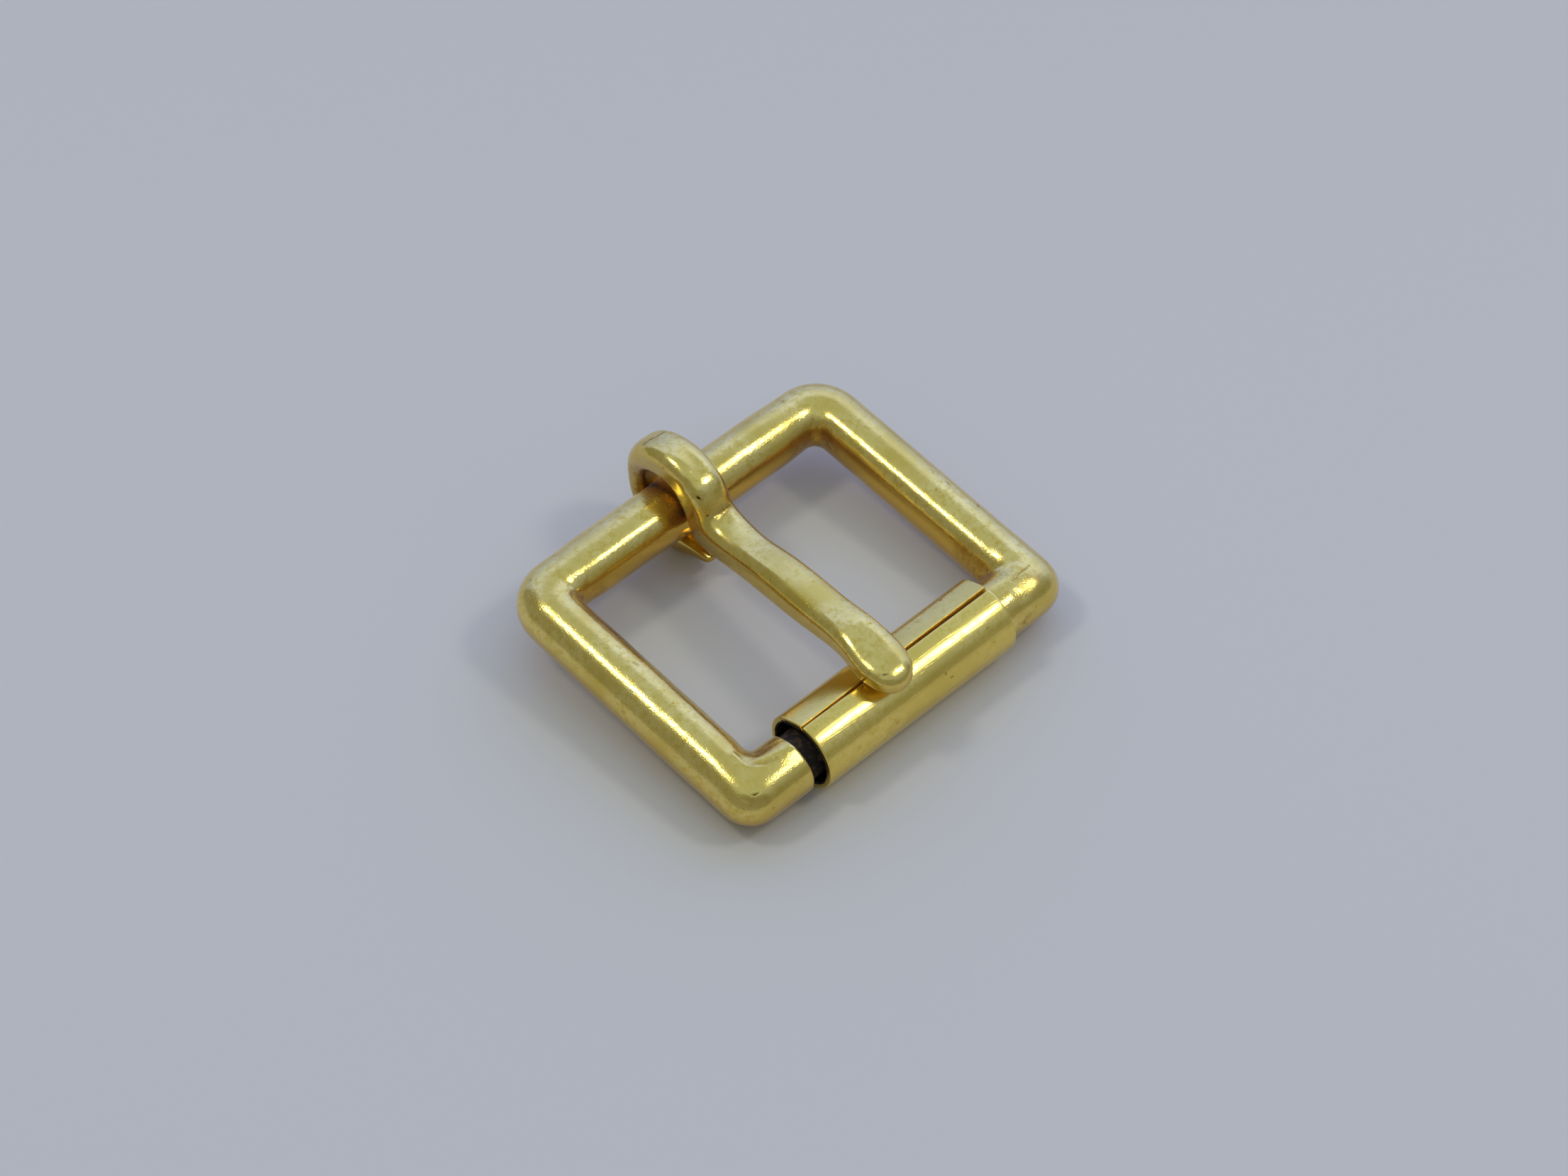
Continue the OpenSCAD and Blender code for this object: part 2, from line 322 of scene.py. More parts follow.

# line, push, reach, dirt and painted shade, and the fall-off where it isn't smooth
frameMarks = (
    # the side bars and the hinge bar are not quite round, but fuller on their inner upper sides and on top
    (((-13.26, -8.5, 4.88), (-13.26, 7.5, 6.09)), (0.08, 0, 0.06), 1.6, 0),
    (((13.35, -8.5, 5.04), (13.35, 7.5, 6.25)), (-0.07, 0, 0.07), 1.5, 0),
    (((-11.5, 9.11, 6.42), (-4.0, 9.11, 6.42)), (0, -0.07, 0.06), 1.4, 0),
    (((-12.0, 10.2, 7.2), (-4.0, 10.2, 7.2)), (0, 0, 0.04), 1.2, 0),
    (((3.5, 10.9, 7.3), (11.0, 10.9, 7.3)), (0, 0, 0.05), 1.3, 0),
    # the near corner: a flatter top on the stub, the edge of a facet, then a broad ridge and a fine one round
    # the corner, and a crease between them and the facet
    (((-14.3, -13.1, 5.6), (-10.6, -13.1, 5.6)), (0, 0, -0.14), 2.5, 0),
    (((-13.4, -12.5, 5.38), (-12.4, -12.85, 5.42), (-11.1, -13.2, 5.42)), (0, 0.04, 0.15), 0.85, 0, "LINEAR"),
    (((-14.5, -10.9, 5.5), (-14.6, -12.0, 5.5), (-14.4, -12.7, 5.45)), (0, 0, 0.04), 0.5, 0),
    (((-14.53, -10.84, 5.53), (-14.54, -11.95, 5.45), (-14.08, -13.1, 5.42), (-13.55, -13.5, 5.4)),
     (0, 0, 0.03), 0.24, 0, "LINEAR"),
    (((-14.04, -12.43, 5.46), (-13.7, -12.78, 5.49), (-13.32, -13.07, 5.51), (-12.4, -13.33, 5.53)),
     (0, 0, -0.035), 0.24, 0.45),
    # a pit there, laid in two, over a shallow oval whose brown is painted shade in its scoop
    (((-15.7, -14.27, 4.77), (-15.55, -14.38, 4.78)), (0.01, 0.02, -0.03), 0.14, 0.85),
    (((-15.55, -14.35, 4.78), (-15.35, -14.4, 4.82)), (0.01, 0.01, -0.01), 0.12, 0.8),
    (((-16.4, -13.95, 4.6), (-16.0, -14.6, 4.4), (-15.1, -15.05, 4.4)), (0.02, 0.03, -0.03), 0.35, 0.4),
    # the right corner: the raised edge of a flat on the stub, a cut along it, and a dirty dent below them
    (((14.2, -12.75, 5.5), (13.0, -12.85, 5.55), (11.2, -12.5, 5.55)), (0, 0.03, 0.06), 0.75, 0, "LINEAR"),
    (((14.95, -13.0, 5.52), (14.4, -13.08, 5.56), (13.7, -13.12, 5.59), (13.3, -13.26, 5.59),
      (12.9, -13.25, 5.59)), (0, 0, -0.03), 0.14, 0.72),
    (((13.3, -12.9, 5.5), (12.9, -13.3, 5.5)), (0, 0, -0.01), 0.3, 0.4),
    (((12.7, -14.35, 5.2), (13.5, -14.2, 5.25)), (0, 0.03, -0.05), 0.8, 0),
    (((13.7, -14.3, 5.15), (14.5, -14.2, 5.2)), (0, 0, 0), 1.0, 0.45),
    (((12.6, -15.5, 3.6), (12.0, -15.58, 3.3)), (0, 0.03, 0), 0.35, 0.5),
    # dirt in the inner corners
    (((12.9, -8.2, 4.3), (12.7, -10.4, 3.6), (11.8, -10.6, 3.0)), (0, 0, 0), 1.6, 0.55),
    (((12.8, 7.4, 5.2), (12.4, 8.5, 5.4), (10.8, 8.6, 5.2)), (0, 0, 0), 1.6, 0.6),
    (((-12.8, 7.0, 4.6), (-12.4, 8.6, 5.2), (-10.8, 8.6, 4.8)), (0, 0, 0), 1.2, 0.45),
    (((-12.9, -9.5, 3.2), (-12.6, -10.9, 3.8), (-11.2, -10.9, 3.2)), (0, 0, 0), 0.9, 0.6),
    # under the tongue's loop: dirt that it rubs into the bar, with painted shade where the loop covers the bar
    (((-2.3, 11.6, 7.2), (-2.2, 9.2, 6.4)), (0, 0, 0), 1.0, 0.4),
    # pits
    (((-14.5, 0.5, 6.35), (-14.35, 0.1, 6.33)), (0, 0, -0.03), 0.15, 0.6),
    (((16.17, -0.99, 6.04), (16.18, -1.2, 6.0)), (0, 0, -0.03), 0.15, 0.6),
    (((16.22, -2.63, 5.91), (16.15, -3.0, 5.9)), (0, 0, -0.03), 0.15, 0.7),
)
worn(castFramePiece, frameMarks)


# Roller: a strip of sheet rolled to a tube, with one flat beside its open seam

sheetRoller = {
    "wall": 0.55 * mm,
    "flatDepth": 0.25 * mm,
    "flatBulge": 11,              # degrees that the flat still curves
    "shearSlope": 0.06 * mm,      # the flat's end at the seam leans back this much
    "seamAngle": 91,              # degrees from +Y over the top
    "seamLeft": 0.12 * mm,
    "seamRight": 0.34 * mm,
    "spinSteps": 56,
    "flatSteps": 5,
    "lengthCuts": 38,
    "edgeRound": 0.11 * mm,
}


def makeRoller():
    sizes = sheetRoller
    low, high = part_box("roller")
    radius = rollerAt.z - low.z
    wall = sizes["wall"]
    left, right = low.x, high.x
    chordAngle = math.degrees(math.acos((radius - sizes["flatDepth"]) / radius))
    halfGap = (sizes["seamLeft"] + sizes["seamRight"]) / 4
    startAngle = sizes["seamAngle"] + math.degrees(halfGap / radius)
    spinAngle = 360 - 2 * chordAngle - math.degrees(halfGap / radius)
    midway = (left + right) / 2
    startAlone()
    bpy.ops.mesh.primitive_plane_add(size=1, rotation=(math.pi / 2, 0, 0),
                                     location=(midway, rollerAt.y, rollerAt.z + radius - wall / 2))
    bpy.ops.transform.resize(value=(right - left, 1, wall))
    bpy.ops.object.transform_apply(location=True, rotation=True, scale=True)
    bpy.ops.object.mode_set(mode="EDIT")
    bpy.ops.mesh.select_all(action="SELECT")
    turn("X", startAngle - 90, rollerAt)
    bpy.ops.mesh.spin(steps=sizes["spinSteps"], angle=-math.radians(spinAngle), center=rollerAt,
                      axis=(1, 0, 0))
    flatAngle = math.radians(sizes["seamAngle"] - chordAngle)
    flatLength = 2 * math.sqrt(radius ** 2 - (radius - sizes["flatDepth"]) ** 2) - halfGap
    bendAt = rollerAt + radius * Vector((0, math.cos(flatAngle - math.radians(chordAngle)),
                                         math.sin(flatAngle - math.radians(chordAngle))))
    stepTurn = sizes["flatBulge"] / sizes["flatSteps"]
    for step in range(sizes["flatSteps"]):
        lean = flatAngle + math.radians(stepTurn * (step + 0.5) - sizes["flatBulge"] / 2)
        move = Vector((0, -math.sin(lean), math.cos(lean))) * flatLength / sizes["flatSteps"]
        bpy.ops.mesh.extrude_region_move(TRANSFORM_OT_translate={"value": move})
        bendAt = bendAt + move
        turn("X", stepTurn if step else chordAngle + stepTurn - sizes["flatBulge"] / 2, bendAt)
    spread = (sizes["seamRight"] - sizes["seamLeft"]) / (right - left)
    turn("Z", math.degrees(math.atan(spread)), (midway, bendAt.y, bendAt.z))
    piece = bpy.context.object

    def lengthwise(edge):
        return abs(edge.verts[0].co.x - edge.verts[1].co.x) > 0.5 * (right - left)

    def atSeam(edge):
        return ((edge.verts[0].co + edge.verts[1].co) / 2 - bendAt).yz.length < 0.1 * mm

    selectWhere(piece, "EDGE", lambda edge: lengthwise(edge) and atSeam(edge))
    bpy.ops.transform.translate(value=-move.normalized() * sizes["shearSlope"])
    selectWhere(piece, "EDGE", lengthwise)
    bpy.ops.mesh.subdivide(number_cuts=sizes["lengthCuts"])
    bpy.ops.mesh.select_all(action="SELECT")
    bpy.ops.mesh.normals_make_consistent(inside=False)
    piece = backToObject("sheetRoller")
    applyModifier(piece, "BEVEL", width=sizes["edgeRound"], segments=3, limit_method="ANGLE",
                  angle_limit=math.radians(50))
    smoothed(piece, 1)
    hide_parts("roller")
    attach(piece, "roller")
    print("roller made,", len(piece.data.polygons), "faces")
    return piece


sheetRollerPiece = makeRoller()

rollerMarks = (
    # the front stands a little further out than a true tube
    (((-9.5, -15.9, 4.1), (9.5, -15.9, 4.1)), (0, -0.13, 0.03), 3.4, 0),
    # a scratch round it, a nick, a pit, a speck and a stain
    (((-5.42, -14.63, 6.02), (-5.41, -15.3, 5.5), (-5.41, -15.7, 4.9)), (0, 0.01, -0.01), 0.13, 0.5),
    (((8.85, -15.47, 5.27), (8.93, -15.81, 4.73)), (0, 0.02, -0.02), 0.13, 1.0),
    (((7.31, -10.86, 5.68), (7.5, -10.8, 5.65)), (0, 0, -0.02), 0.15, 0.8),
    (((5.9, -15.6, 5.0),), (0, 0, 0), 0.2, 0.8),
    (((-3.4, -16.1, 3.6), (-2.6, -16.1, 3.9)), (0, 0, 0), 0.5, 0.3),
)
worn(sheetRollerPiece, rollerMarks)


# Tongue: one casting, an open loop round the hinge bar, a shank and a flattened tip

castTongue = {
    "boreRadius": 3.08 * mm,
    "boreShift": (-0.17 * mm, 0.48 * mm),   # the loose loop's centre, forward and up from the bar's
    "loopWall": 3.1 * mm,
    "footWall": 2.22 * mm,
    "loopWidth": 3.5 * mm,
    "loopAside": -0.18 * mm,
    "freeEnd": 4.5 * mm,
    "shankWidth": 3.7 * mm,
    "shankThick": 3.4 * mm,
    "tipWidth": 4.3 * mm,
    "tipThick": 2.5 * mm,
    "tipUp": 3.01 * mm,                     # from the hinge bar's axis to the middle of the tip
    "tipReach": 3.2 * mm,                   # past the roller's axis
    "tipAside": -1.31 * mm,
    "sectionRound": 0.74,                   # share of half the section that its corners take
    "stepsPerKey": 2,
}
# share of the free end, of the foot's wall, of the loop's width
freeEndRows = ((1.0, 0.2, 0.24), (0.94, 0.39, 0.42), (0.8, 0.5, 0.47), (0.55, 0.66, 0.51), (0.27, 0.88, 0.6))
# degrees from forward over the top, share of the wall, of the loop's width
loopRows = ((270, 1.0, 0.66), (240, 0.86, 0.72), (210, 0.76, 0.78), (180, 0.56, 0.72), (150, 0.71, 0.84),
            (120, 0.92, 0.99), (90, 0.995, 1.01), (68, 1.05, 1.02))
# the loop's root: millimetres forward and up from the hinge bar's axis, above and below, share of its width
rootRows = ((3.88, 5.66, 1.89, 2.77, 1.03), (4.78, 4.42, 2.62, 1.75, 1.05), (5.24, 3.62, 3.00, 0.75, 1.06),
            (6.05, 3.22, 4.10, -0.10, 1.08))
# share of the way from the loop's root to the roller, of the tip's height, of the shank's width and thickness
shankRows = ((0.21, 0.51, 0.98, 0.95), (0.313, 0.58, 0.93, 0.94), (0.461, 0.76, 0.99, 1.0),
             (0.634, 0.88, 1.0, 0.97), (0.757, 0.99, 0.98, 0.88), (0.885, 1.12, 1.04, 0.8))
# share of the reach past the roller, of the tip's height, width and thickness
tipRows = ((0.0, 1.0, 1.0, 1.0), (0.36, 0.99, 0.95, 0.94), (0.68, 0.96, 0.8, 0.82), (0.9, 0.91, 0.52, 0.58),
           (1.0, 0.88, 0.16, 0.2))


def tongueKeys():
    # each key is the outer point, the inner one, half the width and the place along the bar
    sizes = castTongue
    shiftForward, shiftUp = sizes["boreShift"]
    bore = sizes["boreRadius"]
    spacing = hingeAt.y - rollerAt.y
    aside = sizes["loopAside"]
    keys = []
    for reach, thick, wide in freeEndRows:
        forward = shiftForward + reach * sizes["freeEnd"]
        keys.append((forward, shiftUp - bore - thick * sizes["footWall"], forward, shiftUp - bore,
                     wide * sizes["loopWidth"] / 2, aside))
    for degrees, thick, wide in loopRows:
        outer = bore + thick * (sizes["footWall"] if degrees > 180 else sizes["loopWall"])
        across, up = math.cos(math.radians(degrees)), math.sin(math.radians(degrees))
        keys.append((shiftForward + outer * across, shiftUp + outer * up, shiftForward + bore * across,
                     shiftUp + bore * up, wide * sizes["loopWidth"] / 2, aside))
    for crest in rootRows:
        forward = (crest[0] + crest[2]) * mm / 2
        keys.append([c * mm for c in crest[:4]] + [crest[4] * sizes["loopWidth"] / 2,
                                                   aside + sizes["tipAside"] * forward / spacing])
    root = shiftForward + bore
    shares = [(root + along * (spacing - root), up, wide * sizes["shankWidth"], thick * sizes["shankThick"])
              for along, up, wide, thick in shankRows]
    shares += [(spacing + along * sizes["tipReach"], up, wide * sizes["tipWidth"], thick * sizes["tipThick"])
               for along, up, wide, thick in tipRows]
    for forward, up, wide, thick in shares:
        middle = up * sizes["tipUp"]
        keys.append((forward, middle + thick / 2, forward, middle - thick / 2, wide / 2,
                     aside + sizes["tipAside"] * forward / spacing))
    return [Vector(key) for key in keys]


def betweenKeys(a, b, c, d, t):
    # a smooth curve through b and c
    return (2 * b + (c - a) * t + (2 * a - 5 * b + 4 * c - d) * t ** 2 + (3 * b - a - 3 * c + d) * t ** 3) / 2


def tongueStations():
    keys = tongueKeys()
    last = len(keys) - 1
    steps = castTongue["stepsPerKey"]
    rows = []
    for i in range(last):
        around = [keys[min(max(i + k, 0), last)] for k in (-1, 0, 1, 2)]
        rows += [betweenKeys(*around, step / steps) for step in range(steps)]
    rows.append(keys[last])
    stations = []
    for row in rows:
        forward, up = row[0] - row[2], row[1] - row[3]
        middle = (row[0] + row[2]) / 2, (row[1] + row[3]) / 2
        stations.append({"at": Vector((row[5], hingeAt.y - middle[0], hingeAt.z + middle[1])),
                         "turn": math.degrees(math.atan2(forward, up)),
                         "wide": row[4], "high": math.hypot(forward, up) / 2})
    return stations


def makeTongue():
    sizes = castTongue
    stations = tongueStations()
    startAlone()
    first = stations[0]
    bpy.ops.mesh.primitive_plane_add(size=2, rotation=(math.pi / 2, 0, 0))
    bpy.ops.object.transform_apply(location=True, rotation=True, scale=True)
    bpy.ops.object.mode_set(mode="EDIT")
    bpy.ops.mesh.select_all(action="SELECT")
    bpy.ops.mesh.bevel(offset=sizes["sectionRound"], segments=5, affect="VERTICES", profile=0.5)
    bpy.ops.transform.resize(value=(first["wide"], 1, first["high"]), center_override=(0, 0, 0))
    bpy.ops.transform.translate(value=first["at"])
    turn("X", first["turn"], first["at"])
    for old, new in zip(stations, stations[1:]):
        growRing("X", 0, old, new)
    bpy.ops.mesh.select_all(action="SELECT")
    bpy.ops.mesh.normals_make_consistent(inside=False)
    piece = backToObject("castTongue")
    smoothed(piece, 2)
    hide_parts("tongue")
    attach(piece, "tongue")
    print("tongue made,", len(piece.data.polygons), "faces")
    return piece


castTonguePiece = makeTongue()

tongueMarks = (
    # the loop's back is fuller on its left shoulder
    (((-1.4, 12.6, 10.75), (-1.45, 11.3, 11.2), (-1.45, 9.3, 11.0)), (-0.14, 0, 0.15), 1.2, 0),
    # a saw's slip across the back of the loop, and the rough patch in the crease
    (((-1.3, 13.64, 10.55), (-0.8, 13.6, 10.66), (-0.35, 13.55, 10.7), (0.1, 13.46, 10.74),
      (0.7, 13.35, 10.75)), (0, -0.03, -0.05), 0.17, 0.9),
    (((-1.1, 5.6, 8.3), (-0.2, 5.6, 8.3), (0.69, 5.88, 8.23)), (0, 0, -0.01), 0.55, 0.5),
    (((-0.8, 5.46, 8.19), (-0.4, 5.5, 8.2)), (0, 0.01, -0.02), 0.17, 0.5),
    (((0.0, 5.72, 8.35), (0.45, 5.75, 8.35)), (0, 0.01, -0.02), 0.17, 0.5),
    (((-1.0, 5.75, 8.4), (-0.2, 5.62, 8.3), (0.5, 5.7, 8.2)), (0, 0.02, -0.03), 0.2, 0),
    # pits on the crest and the side of the loop
    (((-1.62, 7.2, 9.95), (-1.58, 7.0, 9.85), (-1.45, 6.85, 9.7)), (0.03, 0.04, -0.04), 0.17, 0.95),
    (((-1.53, 6.1, 8.5),), (0.02, 0.02, -0.02), 0.17, 0.85),
    (((-2.06, 8.54, 8.51),), (0.04, 0, 0), 0.2, 0.7),
    # dirt with painted shade inside the loop, a painted shadow in the gap between the shank and the bar,
    # and dirt on the free end
    (((-1.31, 14.22, 6.61), (-0.64, 14.25, 5.46), (-1.36, 14.49, 4.55)), (0, 0, 0), 1.4, 0.6),
    (((-1.5, 8.4, 6.5), (-1.5, 10.0, 7.8), (-1.5, 12.5, 7.9), (-1.4, 13.6, 7.3)), (0, 0, 0), 1.3, 0.6),
    (((0.0, 7.6, 6.0), (0.0, 12.5, 7.8)), (0, 0, 0), 2.0, 0.6),
    # a painted shadow in the gap between the shank, the loop's side and the bar
    (((-2.27, 7.0, 6.25),), (0, 0, 0), 0.3, 0.8),
    (((-0.4, 9.5, 1.7), (-0.4, 7.2, 2.0)), (0, 0, 0), 1.5, 0.25),
    # a pit, and a darker line round the front of the tip that is a painted reflection of the roller's edge
    (((-2.75, -14.85, 8.66), (-2.4, -15.07, 8.62)), (0, 0.005, -0.015), 0.13, 0.85),
    (((-3.26, -13.97, 8.6), (-2.95, -14.7, 8.6), (-2.43, -15.27, 8.5), (-1.75, -15.49, 8.45)),
     (0, 0, 0), 0.2, 0.3),
)
worn(castTonguePiece, tongueMarks)


# Materials

def linear(hexColour):
    # sRGB hex to the linear values that the shader takes
    channels = [int(hexColour[i:i + 2], 16) / 255 for i in (1, 3, 5)]
    return [c / 12.92 if c <= 0.04045 else ((c + 0.055) / 1.055) ** 2.4 for c in channels] + [1]


def addNode(tree, kind, values=None, links=None, **settings):
    # values go to the node's own sockets and links join its sockets to other nodes' outputs
    made = tree.nodes.new(kind)
    for name, value in settings.items():
        setattr(made, name, value)
    for socket, value in (values or {}).items():
        made.inputs[socket].default_value = value
    for socket, source in (links or {}).items():
        tree.links.new(source, made.inputs[socket])
    return made


def newMaterial(name):
    material = bpy.data.materials.new(name)
    material.use_nodes = True
    return material, material.node_tree, material.node_tree.nodes["Principled BSDF"]


# Cast brass, tumbled and long handled: a pale yellow mirror broken up by a fine skin, with olive clouds, a
# darker amber painted as shade on its undersides and inner sides, and brown dirt with painted shade in its
# hollows. The skin's grain and its scratches are really finer than 0.07 mm and are drawn two or three times as
# coarse, to show.
castBrass = {
    "bright": "#F2D97E",
    "olive": "#DFC25B",
    "amber": "#CBA23C",
    "inner": "#D8AA3A",
    "brown": "#96671E",
    "dark": "#2A1E10",
    "roughness": (0.1, 0.24),
    "cloudSize": 4.5 * mm,
    "waveSize": 1.4 * mm,
    "waveDepth": 0.008 * mm,
    "mottleFiner": 2.4,           # the mottle is this many times finer than the waves
    "grainSize": 0.14 * mm,
    "grainDepth": 0.011 * mm,
    "scratchWidth": 0.09 * mm,
    "scratchLength": 4 * mm,
    "scratchDepth": 0.0014 * mm,
    "scratchTurns": (25, 105, 160),
    "hollowReach": 2.2 * mm,
    "dirtRoughness": 0.3,         # how much rougher the dirt is than the metal
    "paintedShade": 0.8,                  # how much of the metal's own colour the painted amber shade hides
    "bloom": 0.14,                # how much a light bloom of handling pales the metal towards its edges
}
# Cast brass that the strap and the fingers keep smooth, so what it mirrors has cleaner edges
handledBrass = {**castBrass, "waveDepth": 0.004 * mm, "grainDepth": 0.005 * mm, "roughness": (0.1, 0.21),
                "bloom": 0.06}
# Rolled sheet: flatter and finer in its grain, with straight lines along the strip that the rolls left, and
# brighter than the castings
sheetBrass = {**handledBrass, "bright": "#F6DA76", "olive": "#E8CC62", "roughness": (0.13, 0.26), "paintedShade": 0.0,
              "scratchTurns": (0, 4, 90), "scratchLength": 7 * mm}
# The strip's sheared end in the seam, where the amber film was never polished away: a dull orange line
shearedBrass = {**sheetBrass, "bright": "#EABC40", "olive": "#DCAC38", "roughness": (0.3, 0.4),
                "hollowReach": 0.05 * mm, "grainDepth": 0.002 * mm}


def brassMaterial(name, finish):
    material, tree, shader = newMaterial(name)
    spot = addNode(tree, "ShaderNodeTexCoord")
    place = spot.outputs["Object"]
    cloud = addNode(tree, "ShaderNodeTexNoise", {"Scale": 1 / finish["cloudSize"], "Detail": 5,
                                                 "Roughness": 0.6}, {"Vector": place}).outputs["Fac"]
    mottleScale = finish["mottleFiner"] / finish["waveSize"]
    mottle = addNode(tree, "ShaderNodeTexNoise", {"Scale": mottleScale, "Detail": 4, "Roughness": 0.7},
                     {"Vector": place}).outputs["Fac"]
    grain = addNode(tree, "ShaderNodeTexNoise", {"Scale": 1 / finish["grainSize"], "Detail": 2},
                    {"Vector": place})
    # the olive clouds, a large pattern and a small one
    patch = addNode(tree, "ShaderNodeMapRange", {"From Min": 0.40, "From Max": 0.62}, {"Value": cloud})
    fleck = addNode(tree, "ShaderNodeMapRange", {"From Min": 0.44, "From Max": 0.62}, {"Value": mottle})
    # painted shade: a darker amber on the faces that look down
    facing = addNode(tree, "ShaderNodeSeparateXYZ", links={0: spot.outputs["Normal"]})
    shadedUnderside = addNode(tree, "ShaderNodeMapRange", {"From Min": 0.3, "From Max": -0.4, "To Max": finish["paintedShade"]},
                    {"Value": facing.outputs["Z"]})
    # and a deeper painted shade on the steep sides that face the middle
    flat = addNode(tree, "ShaderNodeVectorMath", {1: (-1, -1, 0)}, {0: place}, operation="MULTIPLY")
    inwards = addNode(tree, "ShaderNodeVectorMath", links={0: flat.outputs[0]}, operation="NORMALIZE")
    toMiddle = addNode(tree, "ShaderNodeVectorMath", links={0: spot.outputs["Normal"], 1: inwards.outputs[0]},
                       operation="DOT_PRODUCT")
    facesMiddle = addNode(tree, "ShaderNodeMapRange", {"From Min": 0.2, "From Max": 0.5},
                       {"Value": toMiddle.outputs["Value"]})
    steep = addNode(tree, "ShaderNodeMapRange", {"From Min": 0.56, "From Max": 0.4, "To Max": finish["paintedShade"]},
                    {"Value": facing.outputs["Z"]})
    shadedInnerSide = addNode(tree, "ShaderNodeMath", links={0: facesMiddle.outputs[0], 1: steep.outputs[0]},
                   operation="MULTIPLY")
    # brown dirt with painted shade where the metal faces itself, found by ambient occlusion
    openness = addNode(tree, "ShaderNodeAmbientOcclusion", {"Distance": finish["hollowReach"]}, samples=8,
                       only_local=True)
    hollow = addNode(tree, "ShaderNodeMapRange", {"From Min": 0.92, "From Max": 0.5},
                     {"Value": openness.outputs["AO"]})
    marked = addNode(tree, "ShaderNodeAttribute", attribute_name="dirtAndShade")
    lying = addNode(tree, "ShaderNodeMath", links={0: hollow.outputs[0], 1: marked.outputs["Fac"]},
                    operation="MAXIMUM")
    thick = addNode(tree, "ShaderNodeMapRange", {"To Min": 0.5, "To Max": 1.1}, {"Value": fleck.outputs[0]})
    gatheredDirtAndShade = addNode(tree, "ShaderNodeMath", links={0: lying.outputs[0], 1: thick.outputs[0]},
                       operation="MULTIPLY", use_clamp=True)
    # dirt also lies in small broken flecks elsewhere
    rare = addNode(tree, "ShaderNodeMapRange", {"From Min": 0.67, "From Max": 0.73}, {"Value": mottle})
    dirtAndShade = addNode(tree, "ShaderNodeMath", links={0: gatheredDirtAndShade.outputs[0], 1: rare.outputs[0]},
                   operation="MAXIMUM")
    # the marks with the most dirt and painted shade are nearly black, the painted gap shadow on the tongue
    # among them
    blackestDirtAndShade = addNode(tree, "ShaderNodeMapRange", {"From Min": 0.62, "From Max": 0.9},
                     {"Value": marked.outputs["Fac"]})
    dulled = addNode(tree, "ShaderNodeMath", links={0: patch.outputs[0], 1: fleck.outputs[0]},
                     operation="MAXIMUM")
    colour = addNode(tree, "ShaderNodeMix", {6: linear(finish["bright"]), 7: linear(finish["olive"])},
                     {0: dulled.outputs[0]}, data_type="RGBA")
    for over, share in (("amber", shadedUnderside), ("inner", shadedInnerSide), ("brown", dirtAndShade), ("dark", blackestDirtAndShade)):
        colour = addNode(tree, "ShaderNodeMix", {7: linear(finish[over])},
                         {0: share.outputs[0], 6: colour.outputs[2]}, data_type="RGBA")
    smoothest, roughest = finish["roughness"]
    rough = addNode(tree, "ShaderNodeMapRange", {"To Min": smoothest, "To Max": roughest}, {"Value": mottle})
    rougher = addNode(tree, "ShaderNodeMath", {1: finish["dirtRoughness"]},
                      {0: dirtAndShade.outputs[0], 2: rough.outputs[0]}, operation="MULTIPLY_ADD")
    # slow waves, then grain, scratches and flecks, each bump standing on the one before
    wave = addNode(tree, "ShaderNodeTexNoise", {"Scale": 1 / finish["waveSize"], "Detail": 1},
                   {"Vector": place})
    heights = [(wave.outputs["Fac"], finish["waveDepth"]), (grain.outputs["Fac"], finish["grainDepth"])]
    stretch = finish["scratchWidth"] / finish["scratchLength"]
    for degrees in finish["scratchTurns"]:
        turned = addNode(tree, "ShaderNodeMapping", {"Rotation": (0, 0, math.radians(degrees))},
                         {"Vector": place})
        drawn = addNode(tree, "ShaderNodeMapping", {"Scale": (stretch, 1, 1)}, {"Vector": turned.outputs[0]})
        lines = addNode(tree, "ShaderNodeTexNoise", {"Scale": 1 / finish["scratchWidth"], "Detail": 0},
                        {"Vector": drawn.outputs[0]})
        cut = addNode(tree, "ShaderNodeMapRange", {"From Min": 0.62, "From Max": 0.75},
                      {"Value": lines.outputs["Fac"]})
        heights.append((cut.outputs[0], -finish["scratchDepth"]))
    heights.append((rare.outputs[0], -finish["waveDepth"]))
    normal = None
    for height, depth in heights:
        bump = addNode(tree, "ShaderNodeBump", {"Distance": abs(depth)}, {"Height": height}, invert=depth < 0)
        if normal:
            tree.links.new(normal, bump.inputs["Normal"])
        normal = bump.outputs["Normal"]
    tree.links.new(colour.outputs[2], shader.inputs["Base Color"])
    tree.links.new(rougher.outputs[0], shader.inputs["Roughness"])
    tree.links.new(normal, shader.inputs["Normal"])
    shader.inputs["Metallic"].default_value = 1
    shader.inputs["Sheen Weight"].default_value = finish["bloom"]
    return material


# Brass painted nearly black for the shade inside the roller: matt, with a little metal still showing
blackBrass = {
    "dark": "#241A0E",
    "brown": "#6A4E2A",
    "crustSize": 0.5 * mm,
    "crustDepth": 0.03 * mm,
    "roughness": 0.75,
    "metal": 0.2,                 # how much of the metal still shows
}


